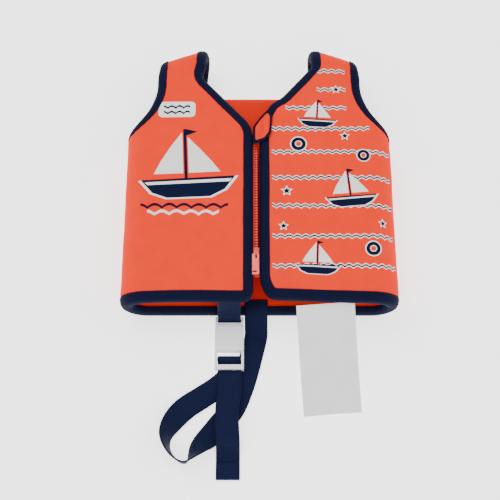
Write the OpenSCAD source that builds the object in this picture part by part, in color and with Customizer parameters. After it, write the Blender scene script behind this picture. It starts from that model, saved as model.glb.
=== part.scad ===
// Child's padded swim vest lying on its back: front zip with a guard flap, bound edges,
// webbing loop, side-release buckle and a crotch strap. Lengths are in millimetres.
// X runs across the chest, Y from the hem to the shoulders and Z up from the back.

/* [Vest] */
// Width across the sides
vest_w = 300; // [280:2:380]
// Length from the hem to the top of the shoulders
vest_l = 310; // [260:2:400]
// Height of the vest as it lies
vest_h = 58; // [52:1:76]
// Thickness of a padded wall, fabric and foam together
wall_t = 15; // [12:0.5:18]
// Thickness of the cover and of the lining
fabric_t = 1.5; // [1:0.25:2.5]

/* [Neck and armholes] */
// Distance from the middle to the neck side of a shoulder
neck_half_w = 62; // [50:1:76]
// Width of a shoulder strap
shoulder_w = 54; // [38:1:58]
// Radius of the curve under the arm
arm_r = 58; // [48:1:70]
// Drop from the top of the shoulder to the middle of that curve
arm_drop = 48; // [44:1:64]
// Drop from the top of the shoulder to the front neck corners
neck_drop = 100; // [84:1:120]
// Drop from the top of the shoulder to the back neck edge
back_neck_drop = 40; // [32:1:50]
// Slope of the shoulders
shoulder_slope = 20; // [0:1:24]

/* [Edge binding] */
// Width of the binding
bind_w = 10; // [7:0.5:12]
// Thickness of a bound edge
bind_t = 5; // [4:0.5:6]
// Radius of the bound corners at the zip
corner_r = 12; // [6:1:16]

/* [Zip] */
// Space between the two front edges
zip_gap = 8.4; // [8.4:0.2:12]
// Distance between teeth on one side
tooth_pitch = 3.2; // [2.6:0.1:4]
// Height of the lowest teeth above the hem
zip_foot = 30; // [24:1:50]
// Length of the pull tab
pull_l = 26; // [18:1:28]

/* [Zip guard] */
// Reach of the guard flap over the right front
guard_reach = 22; // [16:1:26]
// Thickness of the guard flap
guard_t = 3; // [2:0.25:4]

/* [Webbing and buckle] */
// Width of the webbing
web_w = 25; // [20:1:26]
// Thickness of the webbing
web_t = 1.6; // [1.2:0.1:1.8]
// Thickness of the closed buckle
buckle_t = 11; // [10:0.5:13]

/* [Care label] */
// Width of the label
label_w = 62; // [40:1:66]
// Length of the label from the hem
label_l = 118; // [60:2:120]

/* [Hidden] */
$fn = 48;
clear = 0.4;

// Main stations
hem_y = -150;
top_y = hem_y + vest_l;
mid_z = vest_h / 2;
flat_w = vest_w - vest_h;
shoulder_y = top_y - mid_z;
strap_x = neck_half_w + shoulder_w / 2;
corner_y = top_y - neck_drop;
back_neck_y = top_y - back_neck_drop;
arm_x = neck_half_w + shoulder_w + arm_r;
arm_y = top_y - arm_drop;
far = 2 * vest_w;

// Bound edges lie in the middle of the wall
bind_in = (wall_t - bind_t) / 2;
bind_out = bind_in + bind_t;
edge_under = vest_h - bind_out;
edge_over = vest_h - bind_in;
foam_in = fabric_t;
foam_out = wall_t - fabric_t;

// Front edges either side of the zip, and the fold that frees the right lower corner
zip_x = -3.2;
left_edge = zip_x - zip_gap / 2;
right_edge = zip_x + zip_gap / 2;
fold_top = [right_edge, corner_y - 30];
fold_foot = [118, hem_y];
fold_turn = atan2(fold_foot[1] - fold_top[1], fold_foot[0] - fold_top[0]);

// Neck line of each front, from the zip to the shoulder
left_neck = [
    [left_edge, corner_y - 2],
    [-neck_half_w - 4, shoulder_y - 10],
    [-neck_half_w, shoulder_y + 8]
];
right_neck = [
    [right_edge, corner_y + 4],
    [right_edge + 13, corner_y + 28],
    [right_edge + 25, corner_y + 35],
    [neck_half_w, shoulder_y + 8]
];

// Zip
tape_t = 1;
tape_show = 2.5;
tooth_w = 3;
tooth_l = 2;
tooth_h = 2.4;
tooth_top = edge_under - 0.2;
teeth_y = hem_y + zip_foot + 10;
zip_top_y = corner_y - 14;
tooth_count = floor((zip_top_y - teeth_y) / tooth_pitch);
left_teeth_x = left_edge + tape_show;
right_teeth_x = right_edge + clear;
stop_l = 4;

// Zip slider, astride the left teeth
slider_w = zip_gap - 1.8;
slider_x = left_edge + 0.5 + slider_w / 2;
slider_l = 11;
slider_y = teeth_y + 11.5;
plate_t = 1.4;
channel_clear = 0.3;
slider_floor = tooth_top - tooth_h - channel_clear;
slider_roof = tooth_top + channel_clear;
bail_w = 1.4;
bail_top = edge_over - 0.1;
bail_bar_t = 1.3;
pull_w = 9.4;
pull_t = 1.6;
pull_pin_r = 0.7;
pull_y = slider_y + 4.2;
pull_z = slider_roof + plate_t + 1.3;
pull_shift = -1.6;
pull_rest_z = edge_over + 0.25;

// Zip guard flap
guard_z = edge_over + 0.3;
guard_top_z = vest_h + clear;
guard_left = left_edge + clear;
guard_tip = guard_left + guard_reach;
guard_bind_w = 3;

// Buckle, measured down from the hem
buckle_x = -32.5;
buckle_z = 2.2;
rail_w = 2.4;
buckle_w = web_w + 2 * rail_w + 1.6;
web_bar_y = hem_y - 7;
web_bar_r = 1.7;
web_bar_z = buckle_z + buckle_t / 2;
base_y = hem_y - 10.5;
base_l = 3;
mouth_y = base_y - base_l - 0.5;
socket_l = 28;
socket_wall = 2;
lock_y = mouth_y - socket_l;
lock_bar_y = lock_y - 8;
lock_bar_r = 1.8;
lock_bar_z = buckle_z + 4.4;
foot_bar_y = lock_y - 15;
foot_bar_l = 5;
arm_t = 5;
arm_pivot_x = 8.5;

// Crotch strap: [x, distance past the hem, height over its rest, roll], sewn end first
strap_route = [
    [-3.5, 14, wall_t + 0.4, 0],
    [-3.5, 4, wall_t + 0.4, 0],
    [-3.5, -5, 11, 0],
    [-3.5, -14, 4.5, 0],
    [-3.5, -22, 0.2, 0],
    [-5.5, -32, 0, 0],
    [-9, -46, 0, 0],
    [-12.5, -60, 0, 0],
    [-18.5, -80, 0, 0],
    [-28, -103, 0, 0],
    [-40.7, -118, 0, 2],
    [-50.4, -130, 0, 6],
    [-60, -141, 0, 26],
    [-67, -151, 0, 56],
    [-73.7, -159, 0, 80],
    [-80, -161, 0, 85],
    [-90, -155, 0, 84],
    [-97, -144, 0, 78],
    [-98, -131, 0, 60],
    [-91, -117, 0, 34],
    [-79, -103, 0, 12],
    [-62, -91, 0, 3],
    [-47, -81, 0.6, 0],
    [-36.5, -72.5, 2, 0],
    [-32.8, -66, 2.1, 0],
    [-32.5, -61, 2.1, 0],
    [-32.5, -56, 2.2, 0],
    [-32.5, -50.1, 2.8, 0]
];

// Loose tail of the strap, in the same terms
tail_route = [
    [-32.5, -52.6, 6.9, 0],
    [-32.5, -55, 5, 0],
    [-32.4, -58, 4.2, 0],
    [-32, -63, 4.1, 0],
    [-31.5, -73, 4.4, 0],
    [-32, -86, 6.4, 0],
    [-34, -100, 7.5, 0],
    [-34.5, -113, 9, 0],
    [-34, -126, 10.5, 0],
    [-33.2, -140, 11, 0],
    [-33.2, -149, 4, 0],
    [-33.2, -155, 0.7, 0],
    [-33.2, -158, 0, 0],
    [-33.2, -160, 0, 0]
];
tail_fold_l = 17;

// ---------- Shared shapes ----------

// Cross-section of the laid vest, set in from its surface
module section(inset) {
    r = mid_z - inset;
    translate([-flat_w / 2, inset]) square([flat_w, 2 * r]);
    for (side = [-1, 1]) translate([side * flat_w / 2, mid_z]) circle(r = r, $fn = 96);
}

// Layer of the torso wall between two depths, up to the highest shoulder point
module torso_layer(from, to) {
    translate([0, top_y, 0])
        rotate([90, 0, 0])
            linear_extrude(vest_l)
                difference() {
                    section(from);
                    section(to);
                }
}

// Everything below the sloping line where the shoulders turn over
module below_shoulders() {
    intersection_for(side = [-1, 1])
        translate([side * strap_x, shoulder_y])
            rotate(-side * shoulder_slope)
                translate([-far, -2 * far])
                    square([2 * far, 2 * far]);
}

// Layer of a turned-over shoulder between two depths, from a to b out from the middle
module shoulder_layer(from, to, side, a, b) {
    intersection() {
        translate([side * strap_x, shoulder_y, mid_z])
            rotate(-side * shoulder_slope)
                rotate([90, 0, 90])
                    translate([0, 0, -far / 2])
                        linear_extrude(far)
                            intersection() {
                                difference() {
                                    circle(r = mid_z - from, $fn = 96);
                                    circle(r = mid_z - to, $fn = 96);
                                }
                                translate([0, -mid_z]) square([mid_z, vest_h]);
                            }
        translate([side > 0 ? a : -b, 0, 0]) cube([b - a, far, vest_h]);
    }
}

// Armhole seen from the front; side is -1 on the left and 1 on the right
module armhole(side, grow = 0) {
    translate([side * arm_x, arm_y]) circle(r = arm_r + grow, $fn = 96);
    near = arm_x - arm_r - grow;
    translate([side > 0 ? near : -near - far, arm_y]) square([far, far]);
}

// Front piece seen from above, before its armhole is cut
module front_sheet(neck, side) {
    offset(r = corner_r)
        offset(delta = -corner_r)
            polygon(concat(
                [[side * far, hem_y], [neck[0][0], hem_y]],
                neck,
                [[side * neck_half_w, far], [side * far, far]]
            ));
}

module left_plan() {
    difference() {
        front_sheet(left_neck, -1);
        armhole(-1);
    }
}

module right_plan() {
    difference() {
        front_sheet(right_neck, 1);
        armhole(1);
    }
}

module back_plan() {
    neck_r = 28;
    difference() {
        translate([-far, hem_y + bind_w]) square([2 * far, far]);
        for (side = [-1, 1]) armhole(side, bind_w);
        for (side = [-1, 1])
            translate([side * (neck_half_w - neck_r), back_neck_y + neck_r]) circle(r = neck_r);
        translate([neck_r - neck_half_w, back_neck_y]) square([2 * (neck_half_w - neck_r), far]);
        translate([-neck_half_w, back_neck_y + neck_r]) square([2 * neck_half_w, far]);
    }
}

// The flat pattern inside its binding, and the strip that the binding covers
module inside() {
    offset(delta = -bind_w) children();
}

module edge_strip() {
    difference() {
        children();
        inside() children();
    }
}

// Upper half of the vest, over a flat pattern
module front_of(from, to) {
    intersection() {
        torso_layer(from, to);
        translate([0, 0, mid_z])
            linear_extrude(mid_z)
                intersection() {
                    children();
                    below_shoulders();
                }
    }
}

module back_of(from, to) {
    intersection() {
        torso_layer(from, to);
        linear_extrude(mid_z)
            intersection() {
                children();
                below_shoulders();
            }
    }
}

// Side of the fold line: 1 stays with the vest, -1 turns with the lower corner
module fold_side(side) {
    translate(fold_top)
        rotate(fold_turn)
            translate([-far, side > 0 ? clear / 2 : -far - clear / 2])
                square([2 * far, far]);
}

module window(low, high) {
    translate(low) square([high[0] - low[0], high[1] - low[1]]);
}

// ---------- Padded shell ----------

module back_cover() {
    color("tomato") back_of(0, foam_in) back_plan();
}

module back_foam() {
    color("white") back_of(foam_in, foam_out) back_plan();
}

module back_lining() {
    color("orangered") back_of(foam_out, wall_t) back_plan();
}

module left_front(from, to) {
    front_of(from, to) inside() left_plan();
}

module left_front_cover() {
    color("tomato") left_front(0, foam_in);
}

module left_front_foam() {
    color("white") left_front(foam_in, foam_out);
}

module left_front_lining() {
    color("orangered") left_front(foam_out, wall_t);
}

module right_front(from, to, side) {
    front_of(from, to)
        intersection() {
            inside() right_plan();
            fold_side(side);
        }
}

module right_front_cover() {
    color("tomato") right_front(0, foam_in, 1);
}

module right_front_foam() {
    color("white") right_front(foam_in, foam_out, 1);
}

module right_front_lining() {
    color("orangered") right_front(foam_out, wall_t, 1);
}

module right_corner_cover() {
    color("tomato") right_front(0, foam_in, -1);
}

module right_corner_foam() {
    color("white") right_front(foam_in, foam_out, -1);
}

module right_corner_lining() {
    color("orangered") right_front(foam_out, wall_t, -1);
}

// Shoulder strap inside its two bindings
module shoulder(from, to, side) {
    shoulder_layer(
        from, to, side, neck_half_w + bind_w, neck_half_w + shoulder_w - bind_w
    );
}

module left_shoulder_cover() {
    color("tomato") shoulder(0, foam_in, -1);
}

module left_shoulder_foam() {
    color("white") shoulder(foam_in, foam_out, -1);
}

module left_shoulder_lining() {
    color("orangered") shoulder(foam_out, wall_t, -1);
}

module right_shoulder_cover() {
    color("tomato") shoulder(0, foam_in, 1);
}

module right_shoulder_foam() {
    color("white") shoulder(foam_in, foam_out, 1);
}

module right_shoulder_lining() {
    color("orangered") shoulder(foam_out, wall_t, 1);
}

// ---------- Bindings ----------

module back_hem_binding() {
    color("midnightblue")
        back_of(bind_in, bind_out)
            window([-far, hem_y], [far, hem_y + bind_w]);
}

module left_hem_binding() {
    color("midnightblue")
        front_of(bind_in, bind_out)
            intersection() {
                edge_strip() left_plan();
                window([-far, hem_y], [0, hem_y + bind_w]);
            }
}

module right_hem_part(side) {
    front_of(bind_in, bind_out)
        intersection() {
            edge_strip() right_plan();
            window([0, hem_y], [far, hem_y + bind_w]);
            fold_side(side);
        }
}

module right_side_hem_binding() {
    color("midnightblue") right_hem_part(1);
}

module right_hem_binding() {
    color("midnightblue") right_hem_part(-1);
}

module left_edge_binding() {
    color("midnightblue")
        front_of(bind_in, bind_out)
            intersection() {
                edge_strip() left_plan();
                window([left_edge - corner_r, hem_y + bind_w], [0, corner_y - 16]);
            }
}

module right_edge_binding() {
    color("midnightblue")
        front_of(bind_in, bind_out)
            intersection() {
                edge_strip() right_plan();
                window([0, hem_y + bind_w], [fold_foot[0], corner_y]);
                fold_side(-1);
            }
}

module left_neck_binding() {
    color("midnightblue") {
        front_of(bind_in, bind_out)
            intersection() {
                edge_strip() left_plan();
                window([-neck_half_w - bind_w - 8, corner_y - 16], [0, far]);
            }
        shoulder_layer(bind_in, bind_out, -1, neck_half_w, neck_half_w + bind_w);
    }
}

module right_neck_binding() {
    color("midnightblue") {
        front_of(bind_in, bind_out)
            intersection() {
                edge_strip() right_plan();
                window([0, fold_top[1] - bind_w], [neck_half_w + bind_w, far]);
                fold_side(1);
            }
        shoulder_layer(bind_in, bind_out, 1, neck_half_w, neck_half_w + bind_w);
    }
}

// Binding of an armhole, in runs that meet under the arm and either side of the shoulder
module armhole_strip(side) {
    difference() {
        armhole(side, bind_w - 0.05);
        armhole(side);
    }
}

module armhole_turn(side) {
    edge = neck_half_w + shoulder_w;
    shoulder_layer(bind_in, bind_out, side, edge - bind_w, edge);
}

module left_armhole_binding() {
    color("midnightblue") front_of(bind_in, bind_out) armhole_strip(-1);
}

module right_armhole_binding() {
    color("midnightblue") front_of(bind_in, bind_out) armhole_strip(1);
}

module left_armhole_top_binding() {
    color("midnightblue") armhole_turn(-1);
}

module right_armhole_top_binding() {
    color("midnightblue") armhole_turn(1);
}

module left_armhole_back_binding() {
    color("midnightblue") back_of(bind_in, bind_out) armhole_strip(-1);
}

module right_armhole_back_binding() {
    color("midnightblue") back_of(bind_in, bind_out) armhole_strip(1);
}

// ---------- Zip ----------

module tape(a, b, low, high) {
    translate([a, low, edge_under - tape_t]) cube([b - a, high - low, tape_t]);
}

// One tooth with a narrow neck and a wider head; side is 1 where the head points to the right
module tooth(side) {
    neck = tooth_l * 0.6;
    head_w = tooth_w * 0.6;
    translate([side > 0 ? 0 : -tooth_w, -neck / 2, 0]) cube([tooth_w, neck, tooth_h]);
    translate([side > 0 ? tooth_w - head_w : -tooth_w, -tooth_l / 2, 0])
        cube([head_w, tooth_l, tooth_h]);
}

// Teeth number first to last along one edge
module teeth(x, side, first, last, shift) {
    for (i = [first:last])
        translate([x, teeth_y + i * tooth_pitch + shift, tooth_top - tooth_h]) tooth(side);
}

// Number of teeth on the right that turn with the corner
fold_teeth = floor((fold_top[1] - 1.5 - tooth_l / 2 - tooth_pitch / 2 - teeth_y) / tooth_pitch);

module zip_tape_left() {
    color("salmon") tape(left_edge - bind_w, left_teeth_x, hem_y + zip_foot, zip_top_y + stop_l);
}

// The right tape is cut where the fold line crosses the edge
module right_tape(side) {
    intersection() {
        tape(right_teeth_x + tooth_w, right_edge + bind_w, hem_y + zip_foot, zip_top_y + stop_l);
        linear_extrude(vest_h) fold_side(side);
    }
}

module zip_tape_right() {
    color("salmon") right_tape(-1);
}

module zip_tape_right_top() {
    color("salmon") right_tape(1);
}

module zip_teeth_left() {
    color("lightcoral") teeth(left_teeth_x, 1, 0, tooth_count - 1, 0);
}

module zip_teeth_right() {
    color("lightcoral")
        teeth(right_teeth_x + tooth_w, -1, 2, fold_teeth - 3, tooth_pitch / 2);
}

module zip_teeth_right_top() {
    color("lightcoral")
        teeth(right_teeth_x + tooth_w, -1, fold_teeth + 1, tooth_count - 2, tooth_pitch / 2);
}

module zip_top_stops() {
    color("lightcoral")
        for (x = [left_teeth_x, right_teeth_x])
            translate([x, zip_top_y, tooth_top - tooth_h])
                cube([tooth_w, stop_l, tooth_h]);
}

// Retaining box at the foot of the left tape, with a socket for the pin
module zip_box() {
    box_l = teeth_y - 1 - tooth_l / 2 - (hem_y + zip_foot);
    wall = 0.8;
    color("lightcoral")
        translate([left_teeth_x, hem_y + zip_foot, tooth_top - tooth_h - wall])
            difference() {
                cube([right_edge - clear - left_teeth_x, box_l, tooth_h + 2 * wall]);
                translate([tooth_w - wall, box_l / 3, wall])
                    cube([zip_gap, box_l, tooth_h]);
            }
}

// Insertion pin at the foot of the right teeth
module zip_pin() {
    pin_l = teeth_y + 2 * tooth_pitch - (hem_y + zip_foot);
    color("lightcoral")
        translate([right_teeth_x, hem_y + zip_foot, tooth_top - tooth_h])
            cube([tooth_w, pin_l, tooth_h]);
}

module slider_plate(z) {
    translate([slider_x - slider_w / 2, slider_y, z])
        linear_extrude(plate_t)
            offset(r = 1.5) offset(delta = -1.5) square([slider_w, slider_l]);
}

module zip_slider() {
    divider_x = left_teeth_x + tooth_w + channel_clear;
    divider_l = 4.5;
    post_l = 1.6;
    color("lightcoral") {
        slider_plate(slider_floor - plate_t);
        slider_plate(slider_roof);
        translate([divider_x, slider_y + slider_l - divider_l - 1, slider_floor])
            cube([slider_x + slider_w / 2 - divider_x, divider_l, slider_roof - slider_floor]);
        for (y = [slider_y + 1.2, slider_y + slider_l - 1.2 - post_l])
            translate([slider_x - bail_w / 2, y, slider_roof + plate_t])
                cube([bail_w, post_l, bail_top - slider_roof - plate_t]);
        translate([slider_x - bail_w / 2, slider_y + 1.2, bail_top - bail_bar_t])
            cube([bail_w, slider_l - 2.4, bail_bar_t]);
    }
}

// Pull tab: a pin through the bail, two lugs and a flat tab slotted to clear the bail
module zip_pull() {
    lug_w = 1;
    inner = bail_w / 2 + 0.35;
    start = -2.5;
    slot_l = 5;
    color("lightcoral")
        translate([slider_x, pull_y, 0]) {
            translate([-inner - lug_w, 0, pull_z])
                rotate([0, 90, 0])
                    cylinder(r = pull_pin_r, h = 2 * (inner + lug_w), $fn = 24);
            for (side = [-1, 1])
                translate([side * (inner + lug_w / 2) - lug_w / 2, start - 1, pull_z - pull_pin_r])
                    cube([lug_w, 1 - start + pull_pin_r, pull_rest_z + pull_t - pull_z + pull_pin_r]);
            translate([pull_shift, 0, pull_rest_z])
                linear_extrude(pull_t)
                    difference() {
                        offset(r = 1) offset(delta = -1)
                            translate([-pull_w / 2, -pull_l])
                                square([pull_w, pull_l + start]);
                        translate([-inner - pull_shift, start - slot_l])
                            square([2 * inner, slot_l + 1]);
                        translate([-2.2, -pull_l + 2.4]) square([4.4, 1.8]);
                    }
        }
}

// ---------- Zip guard ----------

module guard_plan() {
    offset(r = 3)
        offset(delta = -3)
            polygon([
                [guard_left, corner_y - 27],
                [guard_left, corner_y + 2],
                [guard_left + guard_reach * 0.45, corner_y + 13],
                [guard_tip - 4, corner_y + 21],
                [guard_tip, corner_y - 1],
                [guard_tip - 6, corner_y - 19]
            ]);
}

// Space that the flap fills as it rises from the left edge onto the right front
module guard_layer(from, to) {
    rise_x = right_edge + bind_w - 1.5;
    translate([0, far, 0])
        rotate([90, 0, 0])
            linear_extrude(2 * far)
                polygon([
                    [guard_left, guard_z + from],
                    [rise_x, guard_top_z + from],
                    [far, guard_top_z + from],
                    [far, guard_top_z + to],
                    [rise_x, guard_top_z + to],
                    [guard_left, guard_z + to]
                ]);
}

module zip_guard() {
    color("tomato")
        intersection() {
            guard_layer(0.3, guard_t - 0.3);
            linear_extrude(2 * vest_h) offset(delta = -guard_bind_w) guard_plan();
        }
}

module zip_guard_binding() {
    color("midnightblue")
        intersection() {
            guard_layer(0, guard_t);
            linear_extrude(2 * vest_h)
                difference() {
                    guard_plan();
                    offset(delta = -guard_bind_w) guard_plan();
                }
        }
}

// ---------- Webbing loop and buckle ----------

// Solid with a constant YZ outline, centred on the buckle
module across(w) {
    translate([buckle_x - w / 2, 0, 0]) rotate([90, 0, 90]) linear_extrude(w) children();
}

// Two layers of webbing from under the front hem to the plug's bar
module webbing_loop() {
    loop_t = 2 * web_t;
    foot = web_bar_z + web_bar_r;
    color("midnightblue") {
        across(web_w)
            polygon([
                [hem_y + 1, edge_under],
                [hem_y + 1 + loop_t, edge_under],
                [web_bar_y + loop_t - 0.6, foot],
                [web_bar_y - 0.6, foot]
            ]);
        across(web_w)
            translate([web_bar_y, web_bar_z])
                difference() {
                    circle(r = web_bar_r + web_t);
                    circle(r = web_bar_r);
                }
    }
}

// Plug: the bar that holds the loop, its frame and the guide tongue
module buckle_plug() {
    tongue_w = 7;
    tongue_l = 20;
    frame_l = web_bar_y + web_bar_r + 1.5 - (base_y - base_l);
    color("whitesmoke") {
        across(web_w + 2 * rail_w) translate([web_bar_y, web_bar_z]) circle(r = web_bar_r);
        for (side = [-1, 1])
            translate([
                buckle_x + side * (web_w / 2 + 0.4 + rail_w / 2) - rail_w / 2,
                base_y - base_l,
                buckle_z + 1.5
            ])
                cube([rail_w, frame_l, buckle_t - 3]);
        translate([buckle_x - buckle_w / 2 + 0.4, base_y - base_l, buckle_z + 1.5])
            cube([buckle_w - 0.8, base_l, buckle_t - 3]);
        translate([buckle_x - tongue_w / 2, base_y - base_l - tongue_l, web_bar_z - 2])
            cube([tongue_w, tongue_l, 4]);
    }
}

// Spring arm with its catch; side is -1 on the left and 1 on the right
module buckle_arm(side) {
    root_y = base_y - base_l;
    half = buckle_w / 2;
    color("whitesmoke")
        translate([buckle_x, root_y, web_bar_z - arm_t / 2])
            linear_extrude(arm_t)
                scale([side, 1])
                    polygon([
                        [arm_pivot_x - 1.8, -0.2],
                        [arm_pivot_x + 1.8, -0.2],
                        [arm_pivot_x + 3, -5],
                        [half - 0.2, -8],
                        [half - 0.2, -13.5],
                        [half - 3, -16],
                        [arm_pivot_x, -14.5],
                        [arm_pivot_x - 1.2, -6]
                    ]);
}

module buckle_arm_left() {
    buckle_arm(-1);
}

module buckle_arm_right() {
    buckle_arm(1);
}

// Socket with side windows, and behind it the ladder lock that grips the strap
module buckle_socket() {
    inner_w = buckle_w - 2 * socket_wall - 0.6;
    rail = (buckle_w - web_w - 1) / 2;
    lock_l = lock_y - foot_bar_y + foot_bar_l;
    color("whitesmoke") {
        difference() {
            translate([buckle_x, mouth_y, buckle_z])
                linear_extrude(buckle_t)
                    offset(r = 2) offset(delta = -2)
                        translate([-buckle_w / 2, -socket_l]) square([buckle_w, socket_l]);
            translate([buckle_x - inner_w / 2, mouth_y - socket_l + 5, buckle_z + socket_wall])
                cube([inner_w, socket_l, buckle_t - 2 * socket_wall]);
            translate([buckle_x - buckle_w, mouth_y - 17.5, buckle_z + socket_wall])
                cube([2 * buckle_w, 14, buckle_t - 2 * socket_wall]);
        }
        for (side = [-1, 1])
            translate([
                buckle_x + side * (buckle_w - rail) / 2 - rail / 2,
                lock_y - lock_l,
                buckle_z
            ])
                cube([rail, lock_l, buckle_t - 2]);
        across(buckle_w - 1) translate([lock_bar_y, lock_bar_z]) circle(r = lock_bar_r);
        translate([buckle_x - buckle_w / 2, foot_bar_y - foot_bar_l, buckle_z + buckle_t - 6.4])
            cube([buckle_w, foot_bar_l, 4.4]);
    }
}

// Webbing turned over the bar of the ladder lock
module strap_turn() {
    color("midnightblue")
        across(web_w)
            translate([lock_bar_y, lock_bar_z])
                difference() {
                    circle(r = lock_bar_r + web_t + 0.1);
                    circle(r = lock_bar_r + 0.1);
                    polygon([[0, 0], [0, -10], [-10, -10], [-10, 10]]);
                }
}

// ---------- Crotch strap ----------

// Height of the webbing's middle where it rests on its lower edge at a roll
function rest_z(roll) = web_w / 2 * sin(roll) + web_t / 2 * cos(roll) + 0.3;

// Smooth curve through the route's points, with steps between each pair
function blend(p, q, r, s, t) = 0.5 * (
    2 * q + (r - p) * t + (2 * p - 5 * q + 4 * r - s) * t * t + (3 * q - p - 3 * r + s) * t * t * t
);
function smooth(route, steps) = let (last = len(route) - 1) [
    for (i = [0:last - 1], k = [0:steps - 1])
        blend(
            route[max(i - 1, 0)], route[i], route[i + 1], route[min(i + 2, last)], k / steps
        ),
    route[last]
];
function heading(path, i) = let (
    last = len(path) - 1,
    d = path[min(i + 1, last)] - path[max(i - 1, 0)]
) [d[0], d[1]] / norm([d[0], d[1]]);

// Four corners of the webbing's section at one point of the path
function ring(path, i) = let (
    h = heading(path, i),
    roll = path[i][3],
    side = [-h[1] * cos(roll), h[0] * cos(roll), sin(roll)],
    up = [h[1] * sin(roll), -h[0] * sin(roll), cos(roll)],
    mid = [path[i][0], hem_y + path[i][1], path[i][2] + rest_z(roll)]
) [
    for (c = [[-1, -1], [1, -1], [1, 1], [-1, 1]])
        mid + side * c[0] * web_w / 2 + up * c[1] * web_t / 2
];

// Webbing swept along a route as one closed solid
module webbing(route, steps) {
    path = smooth(route, steps);
    last = len(path) - 1;
    points = [for (i = [0:last]) each ring(path, i)];
    walls = [
        for (i = [0:last - 1], k = [0:3])
            let (a = 4 * i + k, b = 4 * i + (k + 1) % 4)
                each [[a, a + 4, b + 4], [a, b + 4, b]]
    ];
    foot = 4 * last;
    ends = [[0, 1, 2], [0, 2, 3], [foot, foot + 2, foot + 1], [foot, foot + 3, foot + 2]];
    polyhedron(points, concat(walls, ends));
}

module crotch_strap() {
    color("midnightblue") webbing(strap_route, 3);
}

module strap_tail() {
    color("midnightblue") webbing(tail_route, 3);
}

// Folded and sewn end of the tail
module strap_end() {
    tip = tail_route[len(tail_route) - 1];
    color("midnightblue")
        translate([tip[0] - web_w / 2, hem_y + tip[1] - tail_fold_l - 0.1, 0.3])
            cube([web_w, tail_fold_l, 2 * web_t]);
}

// ---------- Care label ----------

// Printed label that hangs from the right front hem to the floor
module care_label() {
    sheet_t = 0.5;
    hem_z = edge_under - 0.6;
    rest = 0.3;
    run = sqrt(label_l * label_l - hem_z * hem_z);
    mid_x = 69.5;
    turn = 4.4;
    sag = 4;
    color("white")
        translate([mid_x, hem_y - clear, 0])
            rotate(turn)
                translate([-label_w / 2, -1, 0])
                    rotate([90, 0, 90])
                        linear_extrude(label_w)
                            polygon([
                                [0, hem_z],
                                [-run / 2, hem_z / 2 - sag],
                                [-run, rest],
                                [-run, rest + sheet_t],
                                [-run / 2, hem_z / 2 - sag + sheet_t],
                                [0, hem_z + sheet_t]
                            ]);
}

// ---------- Parts ----------

back_cover();
back_foam();
back_lining();
left_front_cover();
left_front_foam();
left_front_lining();
right_front_cover();
right_front_foam();
right_front_lining();
right_corner_cover();
right_corner_foam();
right_corner_lining();
left_shoulder_cover();
left_shoulder_foam();
left_shoulder_lining();
right_shoulder_cover();
right_shoulder_foam();
right_shoulder_lining();
back_hem_binding();
left_hem_binding();
right_side_hem_binding();
right_hem_binding();
left_edge_binding();
right_edge_binding();
left_neck_binding();
right_neck_binding();
left_armhole_binding();
right_armhole_binding();
left_armhole_top_binding();
right_armhole_top_binding();
left_armhole_back_binding();
right_armhole_back_binding();
zip_tape_left();
zip_tape_right();
zip_tape_right_top();
zip_teeth_left();
zip_teeth_right();
zip_teeth_right_top();
zip_top_stops();
zip_box();
zip_pin();
zip_slider();
zip_pull();
zip_guard();
zip_guard_binding();
webbing_loop();
buckle_plug();
buckle_arm_left();
buckle_arm_right();
buckle_socket();
strap_turn();
crotch_strap();
strap_tail();
strap_end();
care_label();
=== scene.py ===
"""Child's padded swim vest lying on its back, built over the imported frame."""

import math

import bpy
import numpy as np
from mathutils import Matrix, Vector
from mathutils.geometry import delaunay_2d_cdt

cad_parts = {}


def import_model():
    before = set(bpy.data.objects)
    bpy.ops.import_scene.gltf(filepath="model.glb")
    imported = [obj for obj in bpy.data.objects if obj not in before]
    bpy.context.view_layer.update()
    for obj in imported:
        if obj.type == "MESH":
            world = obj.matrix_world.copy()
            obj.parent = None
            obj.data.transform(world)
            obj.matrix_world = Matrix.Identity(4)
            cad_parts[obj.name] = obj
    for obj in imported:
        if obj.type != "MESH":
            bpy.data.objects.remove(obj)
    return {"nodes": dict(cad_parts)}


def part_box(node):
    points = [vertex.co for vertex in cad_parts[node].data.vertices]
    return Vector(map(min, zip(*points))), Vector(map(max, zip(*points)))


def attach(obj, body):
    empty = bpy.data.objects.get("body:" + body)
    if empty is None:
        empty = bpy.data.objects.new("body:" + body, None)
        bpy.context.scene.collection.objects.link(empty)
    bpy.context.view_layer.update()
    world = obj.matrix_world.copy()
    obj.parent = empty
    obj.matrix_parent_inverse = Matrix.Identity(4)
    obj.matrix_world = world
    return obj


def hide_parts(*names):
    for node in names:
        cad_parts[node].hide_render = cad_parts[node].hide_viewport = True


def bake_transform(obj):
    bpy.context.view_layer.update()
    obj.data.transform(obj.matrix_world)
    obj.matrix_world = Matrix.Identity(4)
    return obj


bl_info = {
    "name": "Swim Vest",
    "version": (1, 0, 0),
    "blender": (4, 5, 0),
    "location": "View3D > Sidebar > Swim Vest",
    "description": "Builds a padded swim vest with its zip, buckle, straps and label",
    "category": "Add Mesh",
}

MM = 0.001

# Shape of the vest in millimetres, in the frame's axes
VEST_LENGTH = 310.0
WALL = 15.0
NECK_X = 62.0
ARM_X = 116.0
SLOPE = math.radians(20)
ARM_R = 58.0
ARM_Y = 112.0
LEFT_EDGE = -7.4
RIGHT_EDGE = 1.0
CORNER_Y = 60.0
BACK_NECK_Y = 120.0
# Depth of the rounding at a bound edge, and width of a binding's inner side against its outer
ROLL_DEPTH = 4.6
INNER_SHARE = 0.72
WEB_WIDTH = 25.0
WEB_THICK = 1.6
# Inner radius of the webbing loop round the buckle's bar
LOOP_R = 1.7
LABEL_WIDTH = 62.0
LABEL_LENGTH = 118.0
LABEL_X = 69.5
# Material slots of a padded panel
COVER, LINING, NAVY, WHITE = range(4)

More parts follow.
